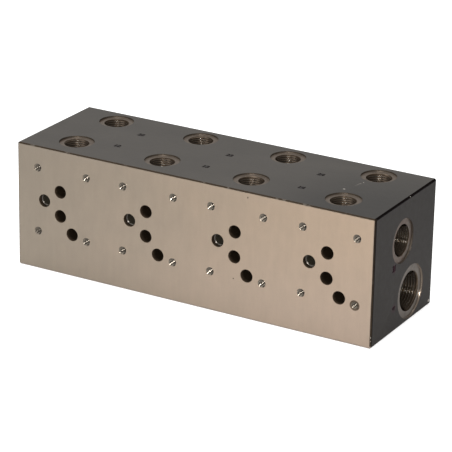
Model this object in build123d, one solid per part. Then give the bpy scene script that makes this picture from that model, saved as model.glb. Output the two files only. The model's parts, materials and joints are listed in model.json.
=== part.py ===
from build123d import *
import math
import os

# Multi-station hydraulic subplate: one steel bar with a ground face that carries the valves,
# tapped working ports on top and the pressure and tank galleries drilled from end to end.
# Millimetres. The origin is the middle of the underside, X runs along the bar, the valve
# face looks towards -Y and +Z is up. "Below top" is measured down from the top face and
# "from face" is measured back from the valve face.

# Bar
STATIONS = 4                    # valve stations side by side
STATION_PITCH = 80.0            # from one station to the next
BAR_DEPTH = 105.0               # valve face to back
BAR_HEIGHT = 105.0
EDGE_CHAMFER = 1.0              # all round the bar

# Valve pattern on the face, size 05 of ISO 4401, ports measured from the upper left bolt
BOLT_FROM_LEFT = 19.3           # first bolt column from the left end of its station
BOLT_BELOW_TOP = 18.3           # upper bolt row
BOLT_SPACING_ALONG = 46.0
BOLT_SPACING_DOWN = 54.0
P_ALONG = 6.3                   # pressure port
P_DOWN = 27.0
A_ALONG = 21.4                  # working port A
A_DOWN = 16.7
B_ALONG = 21.4                  # working port B
B_DOWN = 37.3
T_ALONG = 32.5                  # tank port
T_DOWN = 50.8
VALVE_PORT_DIAMETER = 10.5
P_THROAT_DIAMETER = 9.0         # the pressure drilling narrows behind its mouth
P_THROAT_DEPTH = 4.0

# Every tapped hole is drawn at the major diameter of its thread, down to the drill's full depth.
DRILL_POINT_ANGLE = 118.0

# M6 holes for the valve's bolts
BOLT_THREAD_DIAMETER = 6.0
BOLT_HOLE_DEPTH = 18.0
WORN_MOUTH_DIAMETER = 8.4       # lower right bolt hole of the last station is dished
WORN_MOUTH_DEPTH = 0.45

# Working ports on top, G1/2
TOP_PORT_FROM_LEFT = 40.0       # from the left end of its station
FRONT_ROW_FROM_FACE = 25.5      # row that leads to the A ports
BACK_ROW_FROM_FACE = 85.0       # row that leads to the B ports
TOP_THREAD_DIAMETER = 20.955
TOP_HOLE_DEPTH = 18.0           # from the floor of the spot face
TOP_SPOT_DIAMETER = 28.6
TOP_SPOT_DEPTH = 1.4
TOP_PASSAGE_DIAMETER = 15.0     # drilling on down to the A or B port

# Pressure gallery, end to end, G3/4 at both ends
P_GALLERY_FROM_FACE = 49.0
P_GALLERY_BELOW_TOP = 33.3
P_GALLERY_DIAMETER = 22.0
P_THREAD_DIAMETER = 26.44
P_HOLE_DEPTH = 20.0             # from the floor of the spot face
P_SPOT_DIAMETER = 36.0

# Tank gallery, end to end, G1 at both ends
T_GALLERY_FROM_FACE = 66.4
T_GALLERY_BELOW_TOP = 80.8
T_GALLERY_DIAMETER = 28.0
T_THREAD_DIAMETER = 33.25
T_HOLE_DEPTH = 22.0             # from the floor of the spot face
T_SPOT_DIAMETER = 44.0

END_SPOT_DEPTH = 1.2

# M10 holes in the underside that fix the bar to its frame
FIXING_FROM_END = 15.0
FIXING_FROM_FACE = 12.0         # and the same from the back
FIXING_THREAD_DIAMETER = 10.0
FIXING_HOLE_DEPTH = 20.0

CUT_OVERRUN = 2.0               # how far a cutter stands out of the face it enters

BAR_LENGTH = STATIONS * STATION_PITCH
LEFT_END = -BAR_LENGTH / 2
RIGHT_END = BAR_LENGTH / 2
VALVE_FACE = -BAR_DEPTH / 2
BACK_FACE = BAR_DEPTH / 2

OUT_OF_VALVE_FACE = (0, -1, 0)
OUT_OF_TOP = (0, 0, 1)
OUT_OF_UNDERSIDE = (0, 0, -1)


def point_length(diameter):
    """Length of the cone that a drill of this diameter leaves."""
    return diameter / 2 / math.tan(math.radians(DRILL_POINT_ANGLE / 2))


def sunk_hole(stretches, mouth, outward):
    """Cutter for a hole turned about one axis, closed by a drill point.

    stretches lists (start diameter, end diameter, end depth) from the mouth inwards.
    """
    first_radius = stretches[0][0] / 2
    outline = [(0, CUT_OVERRUN), (first_radius, CUT_OVERRUN), (first_radius, 0)]
    for start_diameter, end_diameter, end_depth in stretches:
        ledge = (start_diameter / 2, outline[-1][1])
        if ledge != outline[-1]:
            outline.append(ledge)
        outline.append((end_diameter / 2, -end_depth))
    last_diameter, last_depth = stretches[-1][1:]
    outline.append((0, -last_depth - point_length(last_diameter)))
    section = make_face(Plane.XZ * Polyline(*outline, close=True))
    return Plane(origin=mouth, z_dir=outward) * revolve(section, Axis.Z)


def on_valve_face(station, along, down):
    """Point of the valve pattern, measured from the station's upper left bolt."""
    x = LEFT_END + station * STATION_PITCH + BOLT_FROM_LEFT + along
    z = BAR_HEIGHT - BOLT_BELOW_TOP - down
    return (x, VALVE_FACE, z)


def valve_bolt_holes(station):
    """Four tapped holes in a rectangle; the very last one of the bar has a dished mouth."""
    thread = BOLT_THREAD_DIAMETER
    sound = [(thread, thread, BOLT_HOLE_DEPTH)]
    dished = [(WORN_MOUTH_DIAMETER, thread, WORN_MOUTH_DEPTH), *sound]
    holes = []
    for along in (0, BOLT_SPACING_ALONG):
        for down in (0, BOLT_SPACING_DOWN):
            is_last = station == STATIONS - 1 and along > 0 and down > 0
            profile = dished if is_last else sound
            holes.append(sunk_hole(profile, on_valve_face(station, along, down), OUT_OF_VALVE_FACE))
    return holes


def valve_port_holes(station):
    """Drillings from the valve face to the galleries and to the passages of the top ports."""
    full = VALVE_PORT_DIAMETER
    shoulder = point_length(VALVE_PORT_DIAMETER) - point_length(P_THROAT_DIAMETER)
    pressure = [
        (full, full, P_THROAT_DEPTH),
        (full, P_THROAT_DIAMETER, P_THROAT_DEPTH + shoulder),
        (P_THROAT_DIAMETER, P_THROAT_DIAMETER, P_GALLERY_FROM_FACE),
    ]
    ports = [
        (P_ALONG, P_DOWN, pressure),
        (A_ALONG, A_DOWN, [(full, full, FRONT_ROW_FROM_FACE)]),
        (B_ALONG, B_DOWN, [(full, full, BACK_ROW_FROM_FACE)]),
        (T_ALONG, T_DOWN, [(full, full, T_GALLERY_FROM_FACE)]),
    ]
    return [
        sunk_hole(profile, on_valve_face(station, along, down), OUT_OF_VALVE_FACE)
        for along, down, profile in ports
    ]


def top_port_holes(station):
    """Spot-faced G1/2 ports, each with a passage down to the port of the valve face it serves."""
    x = LEFT_END + station * STATION_PITCH + TOP_PORT_FROM_LEFT
    thread = TOP_THREAD_DIAMETER
    thread_end = TOP_SPOT_DEPTH + TOP_HOLE_DEPTH
    shoulder = point_length(thread) - point_length(TOP_PASSAGE_DIAMETER)
    holes = []
    for from_face, down in ((FRONT_ROW_FROM_FACE, A_DOWN), (BACK_ROW_FROM_FACE, B_DOWN)):
        passage_end = BOLT_BELOW_TOP + down
        profile = [
            (TOP_SPOT_DIAMETER, TOP_SPOT_DIAMETER, TOP_SPOT_DEPTH),
            (thread, thread, thread_end),
            (thread, TOP_PASSAGE_DIAMETER, thread_end + shoulder),
            (TOP_PASSAGE_DIAMETER, TOP_PASSAGE_DIAMETER, passage_end),
        ]
        mouth = (x, VALVE_FACE + from_face, BAR_HEIGHT)
        holes.append(sunk_hole(profile, mouth, OUT_OF_TOP))
    return holes


def gallery(from_face, below_top, bore, spot, thread, depth):
    """Bore from end to end with a spot-faced, tapped port at each end."""
    y = VALVE_FACE + from_face
    z = BAR_HEIGHT - below_top
    cuts = [Pos(0, y, z) * Rot(0, 90, 0) * Cylinder(bore / 2, BAR_LENGTH)]
    profile = [(spot, spot, END_SPOT_DEPTH), (thread, thread, END_SPOT_DEPTH + depth)]
    for end, outward in ((LEFT_END, (-1, 0, 0)), (RIGHT_END, (1, 0, 0))):
        cuts.append(sunk_hole(profile, (end, y, z), outward))
    return cuts


def fixing_holes():
    """Four tapped holes in the underside, near the corners."""
    profile = [(FIXING_THREAD_DIAMETER, FIXING_THREAD_DIAMETER, FIXING_HOLE_DEPTH)]
    return [
        sunk_hole(profile, (x, y, 0), OUT_OF_UNDERSIDE)
        for x in (LEFT_END + FIXING_FROM_END, RIGHT_END - FIXING_FROM_END)
        for y in (VALVE_FACE + FIXING_FROM_FACE, BACK_FACE - FIXING_FROM_FACE)
    ]


def manifold_block():
    """The bar with its edges broken and all its holes machined."""
    bar = Pos(0, 0, BAR_HEIGHT / 2) * Box(BAR_LENGTH, BAR_DEPTH, BAR_HEIGHT)
    bar = chamfer(bar.edges(), EDGE_CHAMFER)
    cuts = fixing_holes()
    cuts += gallery(
        P_GALLERY_FROM_FACE,
        P_GALLERY_BELOW_TOP,
        P_GALLERY_DIAMETER,
        P_SPOT_DIAMETER,
        P_THREAD_DIAMETER,
        P_HOLE_DEPTH,
    )
    cuts += gallery(
        T_GALLERY_FROM_FACE,
        T_GALLERY_BELOW_TOP,
        T_GALLERY_DIAMETER,
        T_SPOT_DIAMETER,
        T_THREAD_DIAMETER,
        T_HOLE_DEPTH,
    )
    for station in range(STATIONS):
        cuts += valve_bolt_holes(station)
        cuts += valve_port_holes(station)
        cuts += top_port_holes(station)
    return bar - cuts


os.makedirs("parts", exist_ok=True)
export_step(manifold_block(), "parts/manifold_block.step")
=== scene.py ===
import json
import math
from contextlib import contextmanager

import bpy
import numpy as np
from bpy.props import FloatProperty, FloatVectorProperty, IntProperty, PointerProperty
from mathutils import Matrix, Quaternion, Vector


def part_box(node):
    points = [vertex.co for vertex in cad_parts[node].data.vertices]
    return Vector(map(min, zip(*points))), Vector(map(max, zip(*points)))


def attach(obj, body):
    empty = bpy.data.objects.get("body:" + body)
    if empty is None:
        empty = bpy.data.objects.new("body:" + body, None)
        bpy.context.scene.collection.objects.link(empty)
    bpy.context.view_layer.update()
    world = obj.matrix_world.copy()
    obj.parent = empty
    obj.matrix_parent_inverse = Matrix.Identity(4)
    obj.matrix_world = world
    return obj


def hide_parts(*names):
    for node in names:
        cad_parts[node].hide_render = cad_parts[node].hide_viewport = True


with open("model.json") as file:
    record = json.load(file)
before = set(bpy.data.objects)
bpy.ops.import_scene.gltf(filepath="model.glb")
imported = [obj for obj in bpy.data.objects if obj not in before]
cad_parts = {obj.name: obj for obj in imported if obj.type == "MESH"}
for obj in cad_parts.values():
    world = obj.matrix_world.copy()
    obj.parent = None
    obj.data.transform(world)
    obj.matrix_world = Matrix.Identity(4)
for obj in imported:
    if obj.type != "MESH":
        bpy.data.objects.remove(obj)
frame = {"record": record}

bl_info = {
    "name": "Hydraulic Subplate",
    "version": (1, 0, 0),
    "blender": (4, 5, 0),
    "location": "3D View > Sidebar > Subplate",
    "description": "Machines, threads and finishes a bar manifold for four directional valves",
    "category": "Object",
}

# Lengths are in metres, in the frame of the packed bar: X along the bar, the valve face looks
# towards -Y and Z is up. Holes go where the record's mounts and openings say.
MM = 0.001
BAR_NODE = "manifold_block"
BAR_PIECE = "manifold_bar"
BODY = "root"
BAR_LOW, BAR_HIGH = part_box(BAR_NODE)
BAR_SIZE = BAR_HIGH - BAR_LOW
BAR_CENTRE = (BAR_LOW + BAR_HIGH) / 2
MOUNTS = {mount["name"]: mount for mount in frame["record"]["mounts"]}
OPENINGS = {space["name"]: space["box_m"] for space in frame["record"]["physics"]["openings"]}
STATIONS = range(1, 1 + sum(name.startswith("valve_pattern_") for name in MOUNTS))
VALVE_PATTERNS = [f"valve_pattern_{station}" for station in STATIONS]
FIXING_PATTERN = "fixing_holes"
TOP_PORTS = {row: [f"top_port_{row}{station}" for station in STATIONS] for row in "ab"}
GALLERY_PORTS = {letter: [f"{letter}_port_left", f"{letter}_port_right"] for letter in "pt"}
PRESSURE_HEIGHT, TANK_HEIGHT = (MOUNTS[GALLERY_PORTS[letter][1]]["pos_m"][2] for letter in "pt")
OUT_OF_VALVE_FACE = Vector((0, -1, 0))

# A valve's four ports, each with a mount that lies in line with what its drilling meets
VALVE_PORTS = {
    "p": GALLERY_PORTS["p"][1],
    "a": TOP_PORTS["a"][0],
    "b": TOP_PORTS["b"][0],
    "t": GALLERY_PORTS["t"][1],
}

OVERRUN = 2 * MM                    # how far a cutter stands out of the face it enters
SMALLEST = 0.001 * MM               # what is shorter than this counts as nothing
SQUARE = 0.99                       # a unit normal's part along an axis, if its face lies across that axis
SMOOTH_BELOW = math.radians(17)     # just over the 15 degrees between the sides of a bolt hole
DIGIT_SHARE = 0.7                   # height of a digit in Blender's own font, for a size of 1

# How far each thread is turned on from the last one like it, in radians
GALLERY_TURN = 2.0
TOP_TURN = 2.4
BOLT_TURN = 1.7
FIXING_TURN = 1.1

# Stamped numbers: middles as X and Y on the top face, and as Y and Z on the right end
NUMBERS_ON_TOP = {
    "12": (-87.5 * MM, -18.0 * MM),
    "13": (-3.8 * MM, -21.5 * MM),
    "14": (81.2 * MM, -22.3 * MM),
    "22": (-85.3 * MM, 14.8 * MM),
    "23": (-1.0 * MM, 11.2 * MM),
    "24": (80.5 * MM, 11.2 * MM),
}
PRESSURE_NUMBER = "31"
TANK_NUMBER = "41"
NUMBERS_ON_END = {PRESSURE_NUMBER: (-16.8 * MM, 53.3 * MM), TANK_NUMBER: (-14.7 * MM, 19.7 * MM)}

TOP, END, FACE, BACK = BAR_HIGH.z, BAR_HIGH.x, BAR_LOW.y, BAR_HIGH.y

# Knocks and rests of paint: finish, size in mm along X, Y and Z, middle, and turn about Z in degrees
KNOCKS = (
    ("bare_steel", (2.4, 1.3, 0.4), (110.2 * MM, -7.4 * MM, TOP), 20),
    ("bare_steel", (9.0, 0.3, 0.16), (115.0 * MM, 8.0 * MM, TOP), 73),
    ("bare_steel", (1.1, 0.9, 0.3), (116.4 * MM, 13.2 * MM, TOP), 0),
    ("bare_steel", (0.9, 1.6, 1.2), (END - 0.2 * MM, 6.5 * MM, TOP - 0.4 * MM), 0),
    ("bare_steel", (0.6, 0.8, 1.6), (END - 0.35 * MM, FACE + 0.45 * MM, 9.3 * MM), 10),
    ("bare_steel", (0.5, 0.7, 1.2), (END - 0.35 * MM, FACE + 0.45 * MM, 6.2 * MM), 30),
    ("bare_steel", (1.6, 1.8, 2.0), (END - 0.3 * MM, BACK - 0.3 * MM, 1.5 * MM), 0),
    ("bare_steel", (0.9, 3.6, 2.4), (END, BACK - 3.4 * MM, 3.6 * MM), 0),
    ("turned_steel", (0.9, 4.4, 3.0), (END, 10.6 * MM, 60.3 * MM), 0),
    ("old_paint", (0.14, 4.8, 5.6), (END, -17.0 * MM, 53.2 * MM), 0),
    ("old_paint", (0.14, 6.2, 1.6), (END, -14.8 * MM, 20.4 * MM), 0),
    ("turned_steel", (0.5, 1.2, 2.6), (END, 12.6 * MM, 64.4 * MM), 0),
    ("turned_steel", (0.5, 2.8, 1.5), (END, 6.9 * MM, 57.6 * MM), 0),
    ("stamped_steel", (0.9, 0.5, 1.5), (51.5 * MM, FACE, 100.3 * MM), 0),
    ("stamped_steel", (0.8, 0.5, 1.3), (40.2 * MM, FACE, 31.3 * MM), 0),
)


def length(name, description, default):
    """A property that holds a length."""
    return FloatProperty(
        name=name, description=description, default=default, min=0.0,
        subtype="DISTANCE", unit="LENGTH", precision=4,
    )


def angle(name, description, degrees):
    """A property that holds an angle."""
    return FloatProperty(
        name=name, description=description, default=math.radians(degrees), subtype="ANGLE", unit="ROTATION"
    )


def share(name, description, default):
    """A property that holds a number from nothing to one."""
    return FloatProperty(
        name=name, description=description, default=default, min=0.0, max=1.0, subtype="FACTOR"
    )


def strength(name, description, default):
    """A property that holds a strength from nothing upwards."""
    return FloatProperty(name=name, description=description, default=default, min=0.0)


def colour(name, description, default):
    """A property that holds a colour."""
    return FloatVectorProperty(
        name=name, description=description, default=default, size=3, min=0.0, max=1.0, subtype="COLOR"
    )


def position(name, description, default):
    """A property that holds a place in the studio."""
    return FloatVectorProperty(
        name=name, description=description, default=default, size=3, subtype="TRANSLATION", unit="LENGTH"
    )


def sides(name, description, default):
    """A property that holds how many sides a round form has."""
    return IntProperty(name=name, description=description, default=default, min=8, max=256)


class SubplateSizes(bpy.types.PropertyGroup):
    """Sizes of the bar and its holes that the record's mounts do not give."""

    edge_chamfer: length("Edge chamfer", "Flat along every edge of the bar", 1.0 * MM)
    top_spot: length("Top spot face", "Diameter of the spot faces on top", 28.6 * MM)
    p_spot: length("P spot face", "Diameter of the spot faces of the pressure gallery", 36 * MM)
    t_spot: length("T spot face", "Diameter of the spot faces of the tank gallery", 44 * MM)
    p_gallery: length("P gallery", "Bore of the pressure gallery", 22 * MM)
    t_gallery: length("T gallery", "Bore of the tank gallery", 28 * MM)
    top_passage: length("Top passage", "Drilling below a top port", 15 * MM)
    valve_port: length("Valve port", "Mouth of a port in the valve face", 10.5 * MM)
    p_throat: length("P throat", "Drilling behind the mouth of a pressure port", 9.0 * MM)
    p_throat_depth: length("P throat depth", "Where a pressure port narrows", 4.0 * MM)
    rim_break: length("Rim break", "Broken edge round a port of the valve face", 0.15 * MM)
    spot_corner: length("Spot face corner", "Largest corner radius at the floor of a spot face", 0.2 * MM)
    lead_in: length("Lead-in", "How far a port's countersink stands inside the root of its thread", 0.35 * MM)
    bolt_lead_in: length("Bolt lead-in", "How far a bolt hole's countersink stands outside it", 0.4 * MM)
    bolt_sink: angle("Bolt countersink", "Angle across the countersink of a bolt hole", 120)
    worn_mouth: length("Worn mouth", "Dished mouth of the last bolt hole, across", 8.4 * MM)
    worn_depth: length("Worn depth", "Depth of the dished mouth", 0.45 * MM)
    bolt_hole_depth: length("Bolt hole depth", "Drilled depth of the valve's bolt holes", 18 * MM)
    bolt_thread_depth: length("Bolt thread depth", "Tapped depth of the valve's bolt holes", 12 * MM)
    fixing_hole_depth: length("Fixing hole depth", "Drilled depth of the fixing holes", 20 * MM)
    fixing_thread_depth: length("Fixing thread depth", "Tapped depth of the fixing holes", 16 * MM)
    drill_point: angle("Drill point", "Angle across a drill's point", 118)


class SubplateThreads(bpy.types.PropertyGroup):
    """Pitches, forms and fineness of the threads."""

    top_pitch: length("G1/2 pitch", "Top ports", 1.814 * MM)
    p_pitch: length("G3/4 pitch", "Ports of the pressure gallery", 1.814 * MM)
    t_pitch: length("G1 pitch", "Ports of the tank gallery", 2.309 * MM)
    bolt_pitch: length("M6 pitch", "Bolt holes of the valve face", 1.0 * MM)
    fixing_pitch: length("M10 pitch", "Fixing holes of the underside", 1.5 * MM)
    pipe_depth: share("Pipe thread depth", "Height of a pipe thread, in pitches", 0.640)
    pipe_root: share("Pipe thread root", "Width of its root, in pitches", 0.16)
    pipe_flanks: angle("Pipe thread angle", "Angle between its flanks", 55)
    metric_depth: share("Metric thread depth", "Height of a metric thread, in pitches", 0.541)
    metric_root: share("Metric thread root", "Width of its root, in pitches", 0.125)
    metric_flanks: angle("Metric thread angle", "Angle between its flanks", 60)
    tool_clearance: length("Tool clearance", "How far a tap's groove reaches past the crests", 0.12 * MM)
    large_sides: sides("Large bore sides", "Sides of the tank ports and gallery", 72)
    middle_sides: sides("Middle bore sides", "Sides of the other ports with a thread", 56)
    small_sides: sides("Small bore sides", "Sides of the ports in the valve face", 48)
    bolt_sides: sides("Bolt hole sides", "Sides of the bolt and fixing holes", 24)


class SubplateMarks(bpy.types.PropertyGroup):
    """Stamped numbers and knocks."""

    digit_height: length("Digit height", "Height of the numbers on top", 4.6 * MM)
    end_digit_height: length("End digit height", "Height of the pressure gallery's number", 5.0 * MM)
    small_digit_height: length("Small digit height", "Height of the tank gallery's number", 3.2 * MM)
    digit_depth: length("Digit depth", "How deep a number is stamped", 0.4 * MM)
    digit_weight: length("Digit weight", "How much a number's strokes are thickened", 0.14 * MM)
    roughness: share("Knock roughness", "How far a knock's outline strays, for a knock of size 1", 0.06)


class SubplateColours(bpy.types.PropertyGroup):
    """Base colours of the finishes."""

    # Cool and warm ground steel are the two ends of a left-to-right gradient that is partly painted
    # reflection.
    ground_cool: colour("Ground, cool", "Ground steel where it looks greyer", (0.187, 0.158, 0.125))
    ground_warm: colour("Ground, warm", "Ground steel where it looks warmer", (0.283, 0.215, 0.157))
    ground_low: colour("Ground, low", "Ground steel towards the underside", (0.252, 0.202, 0.170))
    black: colour("Blackened", "Blackened steel", (0.0355, 0.031, 0.026))
    black_worn: colour("Blackened, worn", "Where the black is thin", (0.10, 0.088, 0.075))
    # Painted shade: the ends are given a darker black than the long faces.
    end_black: colour("Ends", "The sawn ends, which took more of the black", (0.0115, 0.009, 0.0075))
    # The chamfers are the same blackened steel; their darker colour is painted shade.
    edge: colour("Edge", "Blackened chamfers", (0.003, 0.002, 0.002))
    edge_brown: colour("Edge, brown", "Chamfers round the ground face", (0.022, 0.016, 0.011))
    edge_pale: colour("Edge, pale", "Chamfers rubbed by the bench", (0.17, 0.14, 0.12))
    turned: colour("Turned", "Floors of the spot faces", (0.122, 0.098, 0.078))
    stained: colour("Stained", "The same floors under a film of oil", (0.052, 0.040, 0.032))
    rust: colour("Rust", "Old rust on the spot faces of the pressure gallery", (0.105, 0.058, 0.034))
    spot_wall: colour("Spot wall", "Walls of the spot faces", (0.070, 0.055, 0.042))
    bore: colour("Bore", "Drilled walls near their mouth", (0.088, 0.062, 0.041))
    throat: colour("Throat", "Drillings behind the pressure ports", (0.038, 0.033, 0.023))
    shoulder: colour("Shoulder", "Where the pressure ports narrow", (0.040, 0.035, 0.030))
    port_thread: colour("Port thread", "Flanks and roots of the ports' threads", (0.046, 0.033, 0.023))
    crest: colour("Crest", "Crests of those threads, burnished by fittings", (0.150, 0.135, 0.115))
    sheen: colour("Sheen", "What the flanks send back at a glancing angle", (0.42, 0.38, 0.32))
    bolt_thread: colour("Bolt thread", "Threads of the bolt holes", (0.082, 0.070, 0.056))
    oil: colour("Oil", "Old oil deep in the holes", (0.017, 0.011, 0.006))
    bare: colour("Bare", "Steel laid bare by a knock", (0.36, 0.34, 0.31))
    stamp: colour("Stamp", "Bottom of the stamped numbers", (0.010, 0.008, 0.008))
    paint: colour("Paint", "Rests of dark red paint round the numbers of the end", (0.014, 0.004, 0.006))
    paint_film: colour("Paint film", "The same paint where it is whole", (0.028, 0.014, 0.018))
    floor: colour("Floor", "The pale floor", (0.60, 0.60, 0.60))


class SubplateStudio(bpy.types.PropertyGroup):
    """Camera, lights and floor."""

    camera_place: position("Camera place", "Where the camera stands", (0.8918, -1.5711, 0.7564))
    camera_turn: FloatVectorProperty(
        name="Camera turn", description="How the camera is turned",
        default=[math.radians(a) for a in (68.613, -1.040, 29.899)],
        size=3, subtype="EULER", unit="ROTATION",
    )
    camera_lens: FloatProperty(name="Lens", description="Focal length, mm", default=194.5, min=1.0)
    sky: strength("Sky", "Strength of the even light", 0.54)
    key: strength("Key", "Power of the lamp by the camera, W", 29.0)
    key_size: length("Key size", "Width of the lamp by the camera", 0.06)
    key_lift: length("Key lift", "How far that lamp is above the camera", 0.06)
    glint: strength("Glint", "Power of the small lamp in front, W", 15.0)
    glint_size: length("Glint size", "Width of the small lamp in front", 0.12)
    glint_place: position("Glint place", "Where the small lamp in front hangs", (0.44, -1.82, 0.70))
    left: strength("Left", "Power of the soft lamp up on the left, W", 15.0)
    left_size: length("Left size", "Width of the soft lamp up on the left", 1.3)
    left_place: position("Left place", "Where the soft lamp up on the left hangs", (-0.92, -1.70, 1.15))
    top: strength("Overhead", "Power of the overhead lamp, W", 44.0)
    top_size: length("Overhead size", "Width of the overhead lamp", 1.6)
    top_place: position("Overhead place", "Where the overhead lamp hangs", (-0.3, 0.1, 1.9))
    floor_size: length("Floor size", "Width of the floor", 8.0)
    floor_gap: length("Floor gap", "How far the floor lies below the bar", 0.05 * MM)
    floor_glow: strength("Floor glow", "Light that the floor itself gives", 0.45)


class Field:
    """A value that varies over a surface, used in plain arithmetic."""

    def __init__(self, finish, socket):
        self.finish = finish
        self.socket = socket

    def math(self, operation, *values):
        return self.finish.node("ShaderNodeMath", {"operation": operation}, dict(enumerate(values)))

    def __add__(self, other):
        return self.math("ADD", self, other)

    def __sub__(self, other):
        return self.math("SUBTRACT", self, other)

    def __rsub__(self, other):
        return self.math("SUBTRACT", other, self)

    def __mul__(self, other):
        return self.math("MULTIPLY", self, other)

    def __truediv__(self, other):
        return self.math("DIVIDE", self, other)

    def __pow__(self, other):
        return self.math("POWER", self, other)

    def __abs__(self):
        return self.math("ABSOLUTE", self)

    __radd__ = __add__
    __rmul__ = __mul__

    def least(self, other):
        return self.math("MINIMUM", self, other)

    def most(self, other):
        return self.math("MAXIMUM", self, other)

    def rise(self, low, high):
        """0 below low, 1 above high and smooth between. With low above high it falls."""
        return self.finish.node(
            "ShaderNodeMapRange", {"interpolation_type": "SMOOTHSTEP"}, {"Value": self, 1: low, 2: high}
        )

    def swing(self, width):
        """A noise from 0 to 1 as a number that swings about 0, this wide from end to end."""
        return (self - 0.5) * width


class Finish:
    """A material and the nodes that make its pattern."""

    def __init__(self, name):
        self.material = bpy.data.materials.new(name)
        self.material.use_nodes = True
        self.tree = self.material.node_tree
        self.shader = self.tree.nodes["Principled BSDF"]
        self.place = self.node("ShaderNodeTexCoord", output="Object")
        self.x, self.y, self.z = (
            self.node("ShaderNodeSeparateXYZ", inputs={0: self.place}, output=axis) for axis in range(3)
        )

    def node(self, kind, settings=None, inputs=None, output=0):
        """Adds a node: its settings first, then a value or a link for each socket."""
        node = self.tree.nodes.new(kind)
        for name, value in (settings or {}).items():
            setattr(node, name, value)
        for name, value in (inputs or {}).items():
            self.feed(node.inputs[name], value)
        return Field(self, node.outputs[output])

    def feed(self, socket, value):
        if isinstance(value, Field):
            self.tree.links.new(value.socket, socket)
        else:
            socket.default_value = value

    def shine(self, **values):
        """Feeds the shader's sockets, named with underscores for spaces."""
        for name, value in values.items():
            self.feed(self.shader.inputs[name.replace("_", " ")], value)

    def mix(self, amount, first, second):
        """The first colour where amount is 0, the second where it is 1."""
        pair = {6 + i: c if isinstance(c, Field) else (*c, 1.0) for i, c in enumerate((first, second))}
        return self.node("ShaderNodeMix", {"data_type": "RGBA"}, {0: amount, **pair}, 2)

    def tint(self, shade, amount):
        """The colour made lighter or darker by a number that lies about 1."""
        return self.node("ShaderNodeVectorMath", {"operation": "SCALE"}, {0: shade, "Scale": amount})

    def noise(self, size, detail=2.0, rough=0.5, seed=0.0, turn=0.0):
        """Noise from 0 to 1. Its blots have this size in mm, all round or along X, Y and Z."""
        sizes = size if isinstance(size, tuple) else (size, size, size)
        place = self.place
        if turn:
            place = self.node(
                "ShaderNodeMapping", {"vector_type": "TEXTURE"}, {"Vector": place, "Rotation": (0, 0, turn)}
            )
        scaled = self.node(
            "ShaderNodeVectorMath", {"operation": "MULTIPLY_ADD"},
            {0: place, 1: [1 / (across * MM) for across in sizes], 2: (seed, seed, seed)},
        )
        return self.node(
            "ShaderNodeTexNoise", None, {"Vector": scaled, "Scale": 1.0, "Detail": detail, "Roughness": rough}
        )

    def insets(self):
        """How far a point lies under the nearer of two opposite faces of the bar, along X, Y and Z."""
        return [
            0.5 * size - abs(axis - middle)
            for axis, middle, size in zip((self.x, self.y, self.z), BAR_CENTRE, BAR_SIZE)
        ]

    def depth(self):
        """How far a point lies under the nearest face of the bar."""
        across, inwards, down = self.insets()
        return across.least(inwards).least(down)

    def edge_distance(self):
        """How far a point of the bar's surface lies from the nearest edge of the bar."""
        across, inwards, down = self.insets()
        nearest = across.least(inwards).least(down)
        farthest = across.most(inwards).most(down)
        return across + inwards + down - nearest - farthest

    def spot(self, centre, radius):
        """1 at a point, 0 from this far away."""
        gap = self.node("ShaderNodeVectorMath", {"operation": "DISTANCE"}, {0: self.place, 1: centre}, 1)
        return gap.rise(radius, 0.3 * radius)

    def bump(self, height, depth, strength=1.0):
        """Bends the normal by a height from 0 to 1 that stands for a depth in metres."""
        self.shine(Normal=self.node(
            "ShaderNodeBump", None, {"Strength": strength, "Distance": depth, "Height": height}
        ))


def near_ends(finish):
    """1 in the ports of the two ends, 0 in those on top."""
    return abs(finish.x).rise(BAR_HIGH.x - 29 * MM, BAR_HIGH.x - 25 * MM)


def near_tank(finish):
    """1 at the height of the tank gallery's ports, 0 at the height of the pressure gallery's."""
    between = (PRESSURE_HEIGHT + TANK_HEIGHT) / 2 + 2 * MM
    return finish.z.rise(between + 1 * MM, between - 1 * MM)


def end_masks(finish):
    """1 in the ports of both ends, then the tank gallery's share of that and the pressure gallery's."""
    ends = near_ends(finish)
    tank = ends * near_tank(finish)
    return ends, tank, ends - tank


def nearest_port_radius(finish):
    """Distance from the axis of the nearest port, on the top and on both ends of the bar."""
    pitch = BAR_SIZE.x / len(STATIONS)
    first = MOUNTS[TOP_PORTS["a"][0]]["pos_m"][0]
    rows = [MOUNTS[TOP_PORTS[row][0]]["pos_m"][1] for row in "ab"]
    wrapped = finish.node(
        "ShaderNodeMath", {"operation": "WRAP"}, {0: finish.x - first, 1: pitch / 2, 2: -pitch / 2}
    )

    def ring(across, along, centre):
        return ((across - centre[0]) ** 2 + (along - centre[1]) ** 2) ** 0.5

    on_top = ring(wrapped, finish.y, (0, rows[0])).least(ring(wrapped, finish.y, (0, rows[1])))
    ends = [MOUNTS[GALLERY_PORTS[letter][1]]["pos_m"][1:] for letter in "pt"]
    on_ends = ring(finish.y, finish.z, ends[0]).least(ring(finish.y, finish.z, ends[1]))
    near_top = finish.z.rise(BAR_HIGH.z - 3 * MM, BAR_HIGH.z - 2 * MM)
    return near_top * on_top + (1 - near_top) * on_ends


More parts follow.
